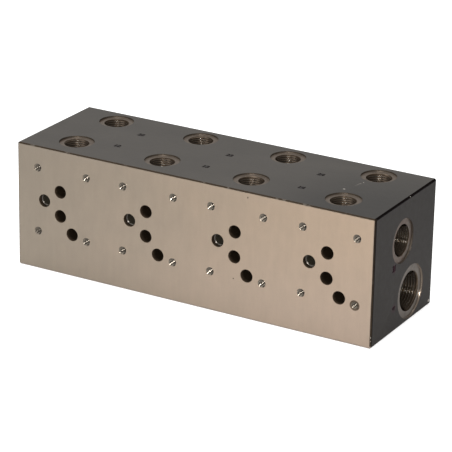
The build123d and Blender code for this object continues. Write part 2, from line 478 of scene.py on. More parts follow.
def ground_steel(finish, colours):
    """The valve face: surface ground, with faint upright streaks and clouds, and warmer and brighter towards
    its right end, partly as painted reflection.
    """
    along = (finish.x - BAR_LOW.x) / BAR_SIZE.x
    clouds = finish.noise((34, 34, 40), 3.0, 0.55, 3.0)
    blots = finish.noise((9, 9, 14), 3.0, 0.6, 7.0)
    bands = finish.noise((4.5, 4.5, 34), 4.0, 0.65, 1.0)
    lines = finish.noise((0.35, 0.35, 9), 2.0, 0.7, 5.0)
    grain = finish.noise((0.6, 0.6, 0.8), 3.0, 0.7, 9.0)
    # Partly painted reflection: the colour runs from cool on the left to warm and bright on the right, with
    # random clouds in it.
    warmth_and_painted_reflection = (along * 0.92 + clouds.swing(0.28)).rise(-0.05, 1.05)
    shade = 1 + bands.swing(0.13) + blots.swing(0.14) + lines.swing(0.08) + grain.swing(0.10)
    # Painted shade: the valve face is made darker towards its top.
    shade = shade * (1 - finish.z.rise(BAR_LOW.z, BAR_HIGH.z) * 0.06)
    rim = finish.edge_distance().rise(1.9 * MM, 1.0 * MM)
    base = finish.mix(warmth_and_painted_reflection, colours.ground_cool, colours.ground_warm)
    base = finish.mix(finish.z.rise(BAR_HIGH.z, BAR_LOW.z) * warmth_and_painted_reflection * 0.5, base, colours.ground_low)
    dark = rim * bands.rise(0.40, 0.65) * 0.6
    finish.shine(
        Base_Color=finish.mix(dark, finish.tint(base, shade), colours.black_worn),
        Metallic=0.88,
        Roughness=0.42 + blots.swing(0.10) + lines.swing(0.10),
    )
    finish.bump(lines * 0.6 + grain * 0.4, 0.003 * MM)


def blackened(finish, black, worn):
    """Colour and unevenness of a milled and blackened face, thin in places and most along its edges."""
    clouds = finish.noise((46, 26, 40), 3.0, 0.6, 11.0)
    blots = finish.noise(5, 4.0, 0.65, 2.0)
    grain = finish.noise(0.7, 3.0, 0.6, 4.0)
    scuffs = finish.noise((30, 0.5, 0.8), 3.0, 0.7, 6.0, math.radians(28))
    thin = finish.edge_distance().rise(4.5 * MM, 1.0 * MM) * blots.rise(0.55, 0.75)
    rubbed = scuffs.rise(0.66, 0.74) * 0.35 + thin * 0.3
    shade = 1 + clouds.swing(0.45) + blots.swing(0.35) + grain.swing(0.4)
    finish.bump(grain * 0.6 + blots * 0.4, 0.02 * MM, 0.6)
    return finish.mix(rubbed, finish.tint(black, shade), worn), blots.swing(0.16) + grain.swing(0.10)


def blackened_steel(finish, colours):
    """Top, back and underside. Dirt has gathered round the numbers, and the top is darkened towards its front
    right corner as painted shade.
    """
    base, uneven = blackened(finish, colours.black, colours.black_worn)
    dirt = sum(finish.spot((x, y, BAR_HIGH.z), 4.2 * MM) for x, y in NUMBERS_ON_TOP.values())
    # Painted shade: darker towards the front right corner of the top.
    corner = finish.spot((BAR_HIGH.x, BAR_LOW.y, BAR_HIGH.z), 120 * MM)
    # Painted shade: a dark band on these faces along the right edge, beside the dark chamfer.
    border = finish.x.rise(BAR_HIGH.x - 1.6 * MM, BAR_HIGH.x - 1.1 * MM)
    base = finish.tint(base, (1 - corner * 0.5) * (1 - border * 0.9))
    finish.shine(
        Base_Color=finish.mix(dirt * 0.85, base, colours.stamp),
        Metallic=0.25 - dirt * 0.2 + border * 0.7,
        Specular_IOR_Level=0.36,
        Roughness=0.46 + uneven + dirt * 0.5 + border * 0.4,
    )


def blackened_end(finish, colours):
    """The two ends, darker than the long faces as painted shade, and duller, with a black border at the top
    and front as painted shade.
    """
    base, uneven = blackened(finish, colours.end_black, colours.black)
    dirt = sum(finish.spot((BAR_HIGH.x, y, z), 5.6 * MM) for y, z in NUMBERS_ON_END.values())
    # Painted shade: a black border along the top and front edges of the ends, beside the dark chamfers.
    upper = (BAR_HIGH.z - finish.z).rise(1.8 * MM, 1.3 * MM)
    border = upper.most((finish.y - BAR_LOW.y).rise(2.3 * MM, 1.8 * MM))
    finish.shine(
        Base_Color=finish.mix(dirt * 0.85, finish.tint(base, 1 - border * 0.95), colours.paint),
        Metallic=0.1 - dirt * 0.1 + border * 0.8,
        Specular_IOR_Level=0.15,
        Roughness=0.62 + uneven + border * 0.3,
    )


def blackened_edge(finish, colours):
    """Chamfers: nearly black, darker than the blackened faces as painted shade, and dull; worn back to grey
    in short stretches.
    """
    stretches = finish.noise(7, 3.0, 0.6, 41.0)
    grain = finish.noise(0.5, 2.0, 0.6, 42.0)
    front = finish.y.rise(BAR_LOW.y + 3 * MM, BAR_LOW.y + 1.5 * MM)
    long = abs(finish.x).rise(BAR_HIGH.x - 0.5 * MM, BAR_HIGH.x - 2 * MM)
    long_front = long * front
    high = finish.z.rise(BAR_LOW.z, BAR_HIGH.z)
    low = finish.z.rise(BAR_LOW.z + 2.5 * MM, BAR_LOW.z + 1 * MM)
    brown = front * (long.most(1 - high) * 0.6 + 0.4)
    worn = stretches.rise(0.66 - long_front * 0.08, 0.74 - long_front * 0.08) * (0.3 + long_front * 0.15)
    base = finish.mix(worn, finish.mix(brown, colours.edge, colours.edge_brown), colours.black_worn)
    finish.shine(
        Base_Color=finish.mix(low, base, colours.edge_pale),
        Metallic=0.0,
        IOR=1.05,
        Roughness=0.75 + grain.swing(0.2),
    )
    finish.bump(grain, 0.02 * MM)


def turned_steel(finish, colours):
    """Floors of the spot faces: dull steel with the cutter's rings, stained by oil and rust, and darker at
    the ends as painted shade.
    """
    ring_pitch = 0.35 * MM
    turns = nearest_port_radius(finish) * (math.tau / ring_pitch)
    rings = finish.node("ShaderNodeMath", {"operation": "SINE"}, {0: turns})
    clouds = finish.noise(6, 4.0, 0.6, 13.0)
    grain = finish.noise(0.4, 2.0, 0.6, 8.0)
    ends, _, pressure = end_masks(finish)
    shade = 1 + rings * 0.05 + clouds.swing(0.5) + grain.swing(0.2)
    base = finish.mix(clouds.rise(0.46, 0.70) * 0.7, colours.turned, colours.stained)
    base = finish.mix(pressure * clouds.rise(0.30, 0.60) * 0.7, base, colours.rust)
    finish.shine(
        # Painted shade: the floors at the ends are darkened like the end faces.
        Base_Color=finish.tint(base, shade * (1 - ends * 0.38 - pressure * 0.10)),
        Metallic=0.8,
        Specular_IOR_Level=0.3,
        Roughness=0.44 + clouds.swing(0.2),
    )
    finish.bump(rings * 0.35 + grain * 0.3 + 0.5, 0.012 * MM)


def spot_wall_steel(finish, colours):
    """Walls of the spot faces. At the ends they are lighter low down and on the tank ports, as painted light,
    and darker on the pressure ports, as painted shade; glossier on the tank ports.
    """
    ends, tank, pressure = end_masks(finish)
    below = PRESSURE_HEIGHT - 4.7 * MM
    low = ends * finish.z.rise(below, below - 8 * MM)
    film = finish.noise(4, 3.0, 0.6, 61.0)
    # Painted light low down and on the tank ports, painted shade on the pressure ports.
    shade = (1 + film.swing(0.6)) * (1 - pressure * 0.3) * (1 + low * 0.8)
    finish.shine(
        Base_Color=finish.tint(finish.mix(tank, colours.spot_wall, colours.turned), shade),
        Metallic=0.80 - tank * 0.15,
        Roughness=0.45 - tank * 0.22 + pressure * 0.1,
    )
    finish.bump(film, 0.004 * MM)


def hole_wall(finish, clean, oil, reach, start):
    """Steel that is clean at the mouth of a hole and oilier the deeper it lies; gives its unevenness."""
    film = finish.noise(3.5, 4.0, 0.6, 17.0)
    grain = finish.noise(0.35, 2.0, 0.6, 3.0)
    oily = (start + finish.depth().rise(0.5 * MM, reach) * 0.7 + film.swing(0.9)).rise(0.0, 0.9)
    shade = 1 + grain.swing(0.4) + film.swing(0.4)
    finish.shine(Base_Color=finish.tint(finish.mix(oily, clean, oil), shade))
    finish.bump(grain, 0.01 * MM, 0.6)
    return film.swing(0.12)


def bore_steel(finish, colours):
    """Drilled walls under a brown film of oil."""
    uneven = hole_wall(finish, colours.bore, colours.oil, 8 * MM, 0.45)
    finish.shine(Metallic=0.5, Specular_IOR_Level=0.25, Roughness=0.50 + uneven)


def throat_steel(finish, colours):
    """Drillings behind the pressure ports, paler than the others."""
    uneven = hole_wall(finish, colours.throat, colours.oil, 60 * MM, 0.0)
    finish.shine(Metallic=0.3, Specular_IOR_Level=0.25, Roughness=0.50 + uneven)


def port_thread_steel(finish, colours):
    """Flanks and roots of the ports' threads: glossy. In the end ports they take more of the oil colour, and
    their upper half is darkened further as painted shade.
    """
    ends = near_ends(finish)
    axis_height = near_tank(finish) * (TANK_HEIGHT - PRESSURE_HEIGHT) + PRESSURE_HEIGHT
    # Painted shade: the upper half of each end port's thread is made darker.
    above = (finish.z - axis_height).rise(-6 * MM, 3 * MM)
    oil = finish.tint(colours.oil, 1 - ends * above * 0.45)
    uneven = hole_wall(finish, colours.port_thread, oil, 18 * MM, ends * (above * 0.55 + 0.40))
    finish.shine(
        Metallic=0.8,
        Roughness=0.32 - ends * 0.14 + uneven,
        Coat_Weight=0.08,
        Coat_Roughness=0.06,
        Specular_Tint=(*colours.sheen, 1.0),
        Specular_IOR_Level=0.25,
    )


def crest_steel(finish, colours):
    """Crests of the ports' threads, narrow and brighter than the flanks."""
    ends = near_ends(finish)
    uneven = hole_wall(finish, colours.crest, colours.oil, 40 * MM, 0.25 - ends * 0.10)
    finish.shine(Metallic=0.9, Roughness=0.30 - ends * 0.10 + uneven)


def cut_steel(finish, shade, roughness, seed):
    """A narrow surface that a cutter left smooth."""
    grain = finish.noise(0.3, 2.0, 0.6, seed)
    film = finish.noise(4, 3.0, 0.6, seed)
    finish.shine(
        Base_Color=finish.tint(shade, 1 + grain.swing(0.3) + film.swing(0.6)),
        Metallic=0.85,
        Roughness=roughness + grain.swing(0.08),
    )
    finish.bump(grain, 0.004 * MM)


def shoulder_steel(finish, colours):
    """Where the pressure ports narrow: a ring that a drill's point left."""
    cut_steel(finish, colours.shoulder, 0.27, 51.0)


def bolt_thread_steel(finish, colours):
    """Threads of the bolt holes, nearly clean."""
    cut_steel(finish, colours.bolt_thread, 0.18, 71.0)


def stamped_steel(finish, colours):
    """Stamped numbers: dirt at the bottom, a little metal on the high spots."""
    grain = finish.noise(0.3, 3.0, 0.6, 21.0)
    finish.shine(
        Base_Color=finish.mix(grain.rise(0.60, 0.85) * 0.2, colours.stamp, colours.black),
        IOR=1.05,
        Roughness=0.75 + grain.swing(0.3),
    )
    finish.bump(grain, 0.03 * MM)


def old_paint(finish, colours):
    """Rests of dark red paint in shallow dents round the numbers of the end."""
    grain = finish.noise(0.6, 3.0, 0.6, 81.0)
    finish.shine(Base_Color=finish.tint(colours.paint_film, 1 + grain.swing(0.8)), IOR=1.05, Roughness=0.8)


def bare_steel(finish, colours):
    """Knocks: torn metal, brighter than anything round it."""
    grain = finish.noise(0.25, 3.0, 0.7, 31.0)
    finish.shine(
        Base_Color=finish.mix(grain.rise(0.35, 0.7), colours.bare, colours.turned),
        Metallic=0.7,
        Roughness=0.45 + grain.swing(0.3),
    )
    finish.bump(grain, 0.05 * MM)


FINISHES = (
    blackened_steel, blackened_end, blackened_edge, ground_steel, turned_steel, spot_wall_steel, bore_steel,
    throat_steel, shoulder_steel, port_thread_steel, crest_steel, bolt_thread_steel, stamped_steel,
    old_paint, bare_steel,
)
HOLE_FINISHES = (
    "turned_steel", "spot_wall_steel", "bore_steel", "throat_steel", "shoulder_steel", "port_thread_steel",
    "crest_steel", "bolt_thread_steel",
)

# Faces of the bar as they lie on the sheet: outward, to the right, up. The two ends come last.
SIDES = (
    ((0, -1, 0), (1, 0, 0), (0, 0, 1)),
    ((0, 1, 0), (-1, 0, 0), (0, 0, 1)),
    ((0, 0, 1), (1, 0, 0), (0, 1, 0)),
    ((0, 0, -1), (1, 0, 0), (0, -1, 0)),
    ((1, 0, 0), (0, 1, 0), (0, 0, 1)),
    ((-1, 0, 0), (0, -1, 0), (0, 0, 1)),
)
LONG_FACES = 4
GUTTER = 2 * MM                     # between the faces on the sheet
SLACK = 0.3 * MM                    # how far a wall may stray from the radius of its stage
STAGE_OVERLAP = 0.2 * MM            # how far the stages of a hole reach into each other
WALL_SHARE = 0.97                   # share of its mouth that a hole's wall takes on the sheet
FLOOR_SHARE = 0.8                   # share of the ledge that a spot face's floor takes there


def only(*pieces):
    """Selects these objects and nothing else; the first is the active one."""
    bpy.ops.object.select_all(action="DESELECT")
    for piece in pieces:
        piece.select_set(True)
    bpy.context.view_layer.objects.active = pieces[0]


def everything(item):
    return True


def faces_down(face):
    return face.normal.z < -0.5


@contextmanager
def editing(piece, element, wanted=everything):
    """Edit mode, with just the wanted vertices, edges or faces selected."""
    only(piece)
    kinds = {"VERT": piece.data.vertices, "EDGE": piece.data.edges, "FACE": piece.data.polygons}
    bpy.context.tool_settings.mesh_select_mode = [element == kind for kind in kinds]
    for items in kinds.values():
        items.foreach_set("select", [False] * len(items))
    for item in kinds[element]:
        item.select = wanted(item)
    bpy.ops.object.mode_set(mode="EDIT")
    yield
    bpy.ops.object.mode_set(mode="OBJECT")


def apply_place():
    bpy.ops.object.transform_apply(location=True, rotation=True, scale=True)


def wear(piece, finish):
    """Gives a piece or a cutter the one finish that its faces carry."""
    piece.data.materials.clear()
    piece.data.materials.append(bpy.data.materials[finish])


def wear_on(piece, finish, wanted):
    """Gives the wanted faces of a piece a finish of their own."""
    piece.data.materials.append(bpy.data.materials[finish])
    with editing(piece, "FACE", wanted):
        piece.active_material_index = len(piece.data.materials) - 1
        bpy.ops.object.material_slot_assign()


def point_length(diameter):
    """Length of the cone that a drill of this diameter leaves."""
    return diameter / 2 / math.tan(bpy.context.scene.subplate_sizes.drill_point / 2)


def new_cutter(name):
    """The object that was just added, with its place applied to its mesh."""
    cutter = bpy.context.object
    cutter.name = name
    apply_place()
    return cutter


def round_cutter(name, diameter, depth, around):
    """A flat-ended cutter: its mouth is at Z 0 and it cuts down to -depth."""
    bpy.ops.mesh.primitive_cylinder_add(
        vertices=around, radius=diameter / 2, depth=depth + OVERRUN, location=(0, 0, (OVERRUN - depth) / 2)
    )
    return new_cutter(name)


def drill(name, diameter, depth, around, finish="bore_steel"):
    """A cutter that stands on a drill's point, which goes on below -depth."""
    cutter = round_cutter(name, diameter, depth, around)
    with editing(cutter, "FACE", faces_down):
        bpy.ops.mesh.poke(offset=point_length(diameter))
    wear(cutter, finish)
    return cutter


def spot_facer(name, diameter, depth, around):
    """A flat cutter with a small corner radius at its floor."""
    cutter = round_cutter(name, diameter, depth, around)
    most = 0.3 * depth              # a shallow one keeps some of its wall
    corner = min(bpy.context.scene.subplate_sizes.spot_corner, most)
    with editing(cutter, "FACE", faces_down):
        bpy.ops.mesh.bevel(offset=corner, segments=2, affect="EDGES")
    wear(cutter, "spot_wall_steel")
    wear_on(cutter, "turned_steel", faces_down)
    return cutter


def countersink(name, mouth, inside, around, depth=None, finish="bore_steel"):
    """A cone from the mouth's diameter at Z 0 in to the inside diameter, at 45 degrees or this deep."""
    fall = (mouth - inside) / 2
    slope = fall / (depth or fall)
    past = 0.2 * fall               # the cone goes on inside the wall that it meets
    reach = (fall + past) / slope
    bpy.ops.mesh.primitive_cone_add(
        vertices=around,
        radius1=inside / 2 - past,
        radius2=mouth / 2 + OVERRUN * slope,
        depth=OVERRUN + reach,
        location=(0, 0, (OVERRUN - reach) / 2),
    )
    cutter = new_cutter(name)
    wear(cutter, finish)
    return cutter


def tap(name, major, form, pitch, depth, around, finish):
    """A helical groove as a thread leaves it, from above the mouth at Z 0 down to -depth."""
    height, root, flanks = form
    outer = major / 2
    inner = outer - height * pitch - bpy.context.scene.subplate_threads.tool_clearance
    middle = (outer + inner) / 2
    open_width = root * pitch + 2 * (outer - inner) * math.tan(flanks / 2)
    bpy.ops.mesh.primitive_plane_add(size=1, location=(middle, 0, -depth), rotation=(math.pi / 2, 0, 0))
    bpy.context.object.scale = (outer - inner, open_width, 1)
    cutter = new_cutter(name)
    with editing(cutter, "VERT", lambda corner: corner.co.x > middle):
        bpy.ops.transform.resize(value=(1, 1, root * pitch / open_width), center_override=(outer, 0, -depth))
    sweep = cutter.modifiers.new("sweep", "SCREW")
    sweep.axis = "Z"
    sweep.screw_offset = pitch
    sweep.iterations = math.ceil(depth / pitch) + 1
    sweep.steps = around
    sweep.render_steps = around
    bpy.ops.object.modifier_apply(modifier=sweep.name)
    with editing(cutter, "FACE"):
        bpy.ops.mesh.fill_holes(sides=4)
        bpy.ops.mesh.normals_make_consistent(inside=False)
    wear(cutter, finish)
    return cutter


def at_each(cutter, places, turn=0.0):
    """Copies of a cutter, each with its own mesh, at (mouth, outward) places; the first one is deleted."""
    copies = []
    for number, (mouth, outward) in enumerate(places):
        only(cutter)
        bpy.ops.object.duplicate(linked=False)
        copy = bpy.context.object
        facing = Vector(outward).to_track_quat("Z", "Y") @ Quaternion((0, 0, 1), turn * number)
        copy.matrix_world = Matrix.Translation(mouth) @ facing.to_matrix().to_4x4()
        apply_place()
        copies.append(copy)
    bpy.data.objects.remove(cutter)
    return copies


def cut(cutters):
    """Takes all the cutters out of the bar in one go and deletes them. They must not overlap."""
    bar = bpy.data.objects[BAR_PIECE]
    only(*cutters)
    bpy.ops.object.join()
    tool = bpy.context.object
    step = bar.modifiers.new("cut", "BOOLEAN")
    step.operation = "DIFFERENCE"
    step.solver = "MANIFOLD"
    step.material_mode = "TRANSFER"
    step.object = tool
    faces = len(bar.data.polygons)
    only(bar)
    bpy.ops.object.modifier_apply(modifier=step.name)
    bpy.data.objects.remove(tool)
    if len(bar.data.polygons) == faces:
        raise RuntimeError("the cutters took nothing out of the bar")


def axis_of(mount):
    return Vector(MOUNTS[mount]["axis"])


def thread_start(mount):
    """Where a threaded hole's wall begins, on the floor of its spot face."""
    wall = MOUNTS[mount]
    return Vector(wall["pos_m"]) + axis_of(mount) * wall["dims"]["length_mm"] * MM / 2


def on_bar_face(point, outward):
    """The point moved along outward to the face of the bar there."""
    moved = Vector(point)
    for axis in range(3):
        if outward[axis]:
            moved[axis] = BAR_HIGH[axis] if outward[axis] > 0 else BAR_LOW[axis]
    return moved


def pattern_holes(mount):
    """The four holes of a bolt pattern as (mouth, outward) places, row by row from the upper left."""
    pattern = MOUNTS[mount]
    outward = axis_of(mount)
    down = Vector((0, 0, -1)) if outward.z == 0 else Vector((0, 1, 0))
    right = Vector((1, 0, 0))
    half_across = pattern["dims"]["spacing_x_mm"] * MM / 2
    half_down = pattern["dims"]["spacing_y_mm"] * MM / 2
    centre = Vector(pattern["pos_m"])
    return [
        (centre + right * half_across * i + down * half_down * j, outward)
        for j in (-1, 1)
        for i in (-1, 1)
    ]


def valve_port_places(letter):
    """Mouths of one port of each valve, in the middle of its stated opening, as (mouth, outward) places."""
    places = []
    for station in STATIONS:
        low, high = OPENINGS[f"valve_port_{letter}{station}"]
        centre = (Vector(low) + Vector(high)) / 2
        places.append((on_bar_face(centre, OUT_OF_VALVE_FACE), OUT_OF_VALVE_FACE))
    return places


def valve_port_reach(letter):
    """How deep the drilling behind a valve's port goes: to the middle of what it meets."""
    return MOUNTS[VALVE_PORTS[letter]]["pos_m"][1] - BAR_LOW.y


def passage_end(row):
    """Height at which the passages below a row of top ports end."""
    return valve_port_places(row)[0][0].z


def mount_places(names):
    """Threaded holes as (start of the thread, outward) places."""
    return [(thread_start(name), axis_of(name)) for name in names]


def spot_places(names):
    """Spot faces as (centre on the face of the bar, outward) places."""
    return [(on_bar_face(thread_start(name), axis_of(name)), axis_of(name)) for name in names]


def spot_depth(name):
    """How far a spot face lies below the face of the bar."""
    return (on_bar_face(thread_start(name), axis_of(name)) - thread_start(name)).length


def pipe_form(threads):
    return threads.pipe_depth, threads.pipe_root, threads.pipe_flanks


def metric_form(threads):
    return threads.metric_depth, threads.metric_root, threads.metric_flanks


def minor_diameter(major, form, pitch):
    """What a tap drill leaves for the thread to be cut in."""
    return major - 2 * form[0] * pitch


def pipe_port_cutters(names, spot, pitch, around, turn):
    """Spot facers, tap drills, countersinks and taps for ports of one size."""
    form = pipe_form(bpy.context.scene.subplate_threads)
    wall = MOUNTS[names[-1]]["dims"]
    major = 2 * wall["r_mm"] * MM
    minor = minor_diameter(major, form, pitch)
    depth = wall["length_mm"] * MM
    mouth = major - 2 * bpy.context.scene.subplate_sizes.lead_in
    places = mount_places(names)
    return (
        at_each(spot_facer("spot_facer", spot, spot_depth(names[-1]), around), spot_places(names)),
        at_each(drill("tap_drill", minor, depth, around, "crest_steel"), places),
        at_each(countersink("port_sink", mouth, minor, around), places),
        at_each(tap("port_tap", major, form, pitch, depth, around, "port_thread_steel"), places, turn),
    )


def cut_bolt_holes(patterns, pitch, depth, tapped, finish, turn, sink=None):
    """Drills, countersinks and taps bolt patterns of one size; sink is the angle across, or 90 degrees."""
    threads = bpy.context.scene.subplate_threads
    form = metric_form(threads)
    around = threads.bolt_sides
    places = [hole for pattern in patterns for hole in pattern_holes(pattern)]
    major = 2 * MOUNTS[patterns[0]]["dims"]["hole_r_mm"] * MM
    minor = minor_diameter(major, form, pitch)
    mouth = major + 2 * bpy.context.scene.subplate_sizes.bolt_lead_in
    sunk = (mouth - minor) / 2 / math.tan(sink / 2) if sink else None
    cut(at_each(drill("bolt_drill", minor, depth, around, finish), places))
    cut(at_each(countersink("bolt_sink", mouth, minor, around, sunk, finish), places))
    cut(at_each(tap("bolt_tap", major, form, pitch, tapped, around, "bolt_thread_steel"), places, turn))


def set_down(cutter, place, turn, finish):
    """Puts a cutter in its place and gives it its finish."""
    cutter.location = place
    cutter.rotation_euler = turn
    only(cutter)
    apply_place()
    wear(cutter, finish)
    return cutter


def stamp(number, height, place, turn):
    """A number as a cutter, centred on its place and sunk by the depth of the stamp."""
    marks = bpy.context.scene.subplate_marks
    bpy.ops.object.select_all(action="DESELECT")
    bpy.ops.object.text_add(location=(0, 0, 0))
    text = bpy.context.object.data
    text.body = number
    text.align_x = "CENTER"
    text.align_y = "CENTER"
    text.size = height / DIGIT_SHARE
    text.offset = marks.digit_weight
    text.extrude = marks.digit_depth
    text.resolution_u = 4
    bpy.ops.object.convert(target="MESH")
    cutter = bpy.context.object
    with editing(cutter, "VERT"):
        bpy.ops.mesh.remove_doubles(threshold=SMALLEST)
        bpy.ops.mesh.normals_make_consistent(inside=False)
    return set_down(cutter, place, turn, "stamped_steel")


def lump(finish, size, place, turn, seed):
    """A rough lump, its size in millimetres, that tears a chip out of the bar."""
    bpy.ops.object.select_all(action="DESELECT")
    bpy.ops.mesh.primitive_ico_sphere_add(subdivisions=2, radius=0.5)
    cutter = bpy.context.object
    with editing(cutter, "VERT"):
        bpy.ops.transform.vertex_random(offset=bpy.context.scene.subplate_marks.roughness, seed=seed)
    cutter.scale = Vector(size) * MM
    return set_down(cutter, place, (0, 0, math.radians(turn)), finish)


class SUBPLATE_OT_finishes(bpy.types.Operator):
    """Mix the finishes of the bar"""

    bl_idname = "subplate.finishes"
    bl_label = "Mix Finishes"

    def execute(self, context):
        for make in FINISHES:
            make(Finish(make.__name__), context.scene.subplate_colours)
        return {"FINISHED"}


class SUBPLATE_OT_bar(bpy.types.Operator):
    """Saw the bar to size, break its edges, blacken it and grind the valve face"""

    bl_idname = "subplate.bar"
    bl_label = "Bar"

    def execute(self, context):
        bpy.ops.object.select_all(action="DESELECT")
        bpy.ops.mesh.primitive_cube_add(size=1, location=BAR_CENTRE)
        bar = context.object
        bar.name = BAR_PIECE
        bar.scale = BAR_SIZE
        apply_place()
        with editing(bar, "EDGE"):
            bpy.ops.mesh.bevel(offset=context.scene.subplate_sizes.edge_chamfer, segments=1, affect="EDGES")
        wear(bar, "blackened_steel")
        wear_on(bar, "blackened_edge", lambda face: max(map(abs, face.normal)) < SQUARE)
        wear_on(bar, "ground_steel", lambda face: face.normal.y < -SQUARE)
        wear_on(bar, "blackened_end", lambda face: abs(face.normal.x) > SQUARE)
        return {"FINISHED"}


class SUBPLATE_OT_galleries(bpy.types.Operator):
    """Bore the two galleries from end to end and spot-face, drill and tap their ports"""

    bl_idname = "subplate.galleries"
    bl_label = "Galleries"

    def execute(self, context):
        sizes = context.scene.subplate_sizes
        threads = context.scene.subplate_threads
        bores, ports = [], []
        for letter, bore, spot, pitch, around in (
            ("p", sizes.p_gallery, sizes.p_spot, threads.p_pitch, threads.middle_sides),
            ("t", sizes.t_gallery, sizes.t_spot, threads.t_pitch, threads.large_sides),
        ):
            names = GALLERY_PORTS[letter]
            bores += at_each(drill("gallery", bore, BAR_SIZE.x, around), spot_places(names[1:]))
            ports.append(pipe_port_cutters(names, spot, pitch, around, GALLERY_TURN))
        facers, drills, sinks, taps = (pressure + tank for pressure, tank in zip(*ports))
        for cutters in (facers, bores, drills, sinks, taps):
            cut(cutters)
        return {"FINISHED"}


class SUBPLATE_OT_top_ports(bpy.types.Operator):
    """Spot-face, drill and tap the working ports on top, and drill their passages"""

    bl_idname = "subplate.top_ports"
    bl_label = "Top Ports"

    def execute(self, context):
        sizes = context.scene.subplate_sizes
        threads = context.scene.subplate_threads
        around = threads.middle_sides
        names = TOP_PORTS["a"] + TOP_PORTS["b"]
        facers, drills, sinks, taps = pipe_port_cutters(
            names, sizes.top_spot, threads.top_pitch, around, TOP_TURN
        )
        passages = [
            at_each(
                drill("passage", sizes.top_passage, thread_start(ports[0]).z - passage_end(row), around),
                mount_places(ports),
            )
            for row, ports in TOP_PORTS.items()
        ]
        for cutters in (facers, drills, *passages, sinks, taps):
            cut(cutters)
        return {"FINISHED"}


class SUBPLATE_OT_valve_ports(bpy.types.Operator):
    """Drill the pressure, tank and working ports of the valve face"""

    bl_idname = "subplate.valve_ports"
    bl_label = "Valve Ports"

    def execute(self, context):
        sizes = context.scene.subplate_sizes
        around = context.scene.subplate_threads.small_sides
        places = {letter: valve_port_places(letter) for letter in VALVE_PORTS}
        drillings = []
        for letter in VALVE_PORTS:
            bore, finish = sizes.valve_port, "bore_steel"
            if letter == "p":
                bore, finish = sizes.p_throat, "throat_steel"
            drilling = drill("drilling", bore, valve_port_reach(letter), around, finish)
            drillings += at_each(drilling, places[letter])
        cut(drillings)
        mouth = drill("p_mouth", sizes.valve_port, sizes.p_throat_depth, around)
        wear_on(mouth, "shoulder_steel", faces_down)
        cut(at_each(mouth, places["p"]))
        rim = countersink("rim", sizes.valve_port + 2 * sizes.rim_break, sizes.valve_port, around)
        cut(at_each(rim, sum(places.values(), [])))
        return {"FINISHED"}


class SUBPLATE_OT_bolt_holes(bpy.types.Operator):
    """Drill and tap the bolt holes of the valve face; the last one has a worn mouth"""

    bl_idname = "subplate.bolt_holes"
    bl_label = "Bolt Holes"

    def execute(self, context):
        sizes = context.scene.subplate_sizes
        threads = context.scene.subplate_threads
        cut_bolt_holes(
            VALVE_PATTERNS, threads.bolt_pitch, sizes.bolt_hole_depth, sizes.bolt_thread_depth,
            "bolt_thread_steel", BOLT_TURN, sizes.bolt_sink,
        )
        last = VALVE_PATTERNS[-1]
        major = 2 * MOUNTS[last]["dims"]["hole_r_mm"] * MM
        dish = countersink("dish", sizes.worn_mouth, major, 2 * threads.bolt_sides, sizes.worn_depth)
        cut(at_each(dish, pattern_holes(last)[-1:]))
        return {"FINISHED"}


class SUBPLATE_OT_fixing_holes(bpy.types.Operator):
    """Drill and tap the fixing holes in the underside"""

    bl_idname = "subplate.fixing_holes"
    bl_label = "Fixing Holes"

    def execute(self, context):
        sizes = context.scene.subplate_sizes
        pitch = context.scene.subplate_threads.fixing_pitch
        cut_bolt_holes(
            [FIXING_PATTERN], pitch, sizes.fixing_hole_depth, sizes.fixing_thread_depth,
            "bore_steel", FIXING_TURN,
        )
        return {"FINISHED"}


class SUBPLATE_OT_marks(bpy.types.Operator):
    """Stamp plain numbers beside the ports"""

    bl_idname = "subplate.marks"
    bl_label = "Stamped Numbers"

    def execute(self, context):
        marks = context.scene.subplate_marks
        stamps = [
            stamp(number, marks.digit_height, (x, y, TOP), (0, 0, 0))
            for number, (x, y) in NUMBERS_ON_TOP.items()
        ]
        upright = (math.pi / 2, 0, math.pi / 2)
        heights = {PRESSURE_NUMBER: marks.end_digit_height, TANK_NUMBER: marks.small_digit_height}
        stamps += [
            stamp(number, heights[number], (END, y, z), upright) for number, (y, z) in NUMBERS_ON_END.items()
        ]
        cut(stamps)
        return {"FINISHED"}


class SUBPLATE_OT_knocks(bpy.types.Operator):
    """Chip, nick and scratch the bar as in use"""

    bl_idname = "subplate.knocks"
    bl_label = "Knocks"

    def execute(self, context):
        cut([lump(*knock, number) for number, knock in enumerate(KNOCKS)])
        return {"FINISHED"}


class SUBPLATE_OT_close(bpy.types.Operator):
    """Check that the finished bar is closed, smooth its round walls and put it in the frame"""

    bl_idname = "subplate.close"
    bl_label = "Finish the Bar"

    def execute(self, context):
        bar = bpy.data.objects[BAR_PIECE]
        with editing(bar, "VERT"):
            bpy.ops.mesh.select_all(action="DESELECT")
            bpy.ops.mesh.select_non_manifold()
        loose = sum(vertex.select for vertex in bar.data.vertices)
        if loose:
            raise RuntimeError(f"the bar is not closed at {loose} vertices")
        only(bar)
        bpy.ops.object.shade_smooth_by_angle(angle=SMOOTH_BELOW)
        self.round_threads(bar)
        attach(bar, BODY)
        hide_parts(BAR_NODE)
        return {"FINISHED"}

    def round_threads(self, bar):
        """Smooths the edges of the pipe threads, whose crests and roots are rounded."""
        mesh = bar.data
        names = [material.name for material in mesh.materials]
        walls = {names.index(name) for name in ("port_thread_steel", "crest_steel", "bore_steel")}
        threads = {names.index("port_thread_steel")}
        around = [set() for edge in mesh.edges]
        for face in mesh.polygons:
            for corner in face.loop_indices:
                around[mesh.loops[corner].edge_index].add(face.material_index)
        rounded = {number for number, slots in enumerate(around) if slots <= walls and slots & threads}
        with editing(bar, "EDGE", lambda edge: edge.index in rounded):
            bpy.ops.mesh.mark_sharp(clear=True)


def column(items, name, kind, *width):
    """One value of each vertex, corner or face of a mesh."""
    values = np.empty((len(items), *width), dtype=kind)
    items.foreach_get(name, values.ravel())
    return values


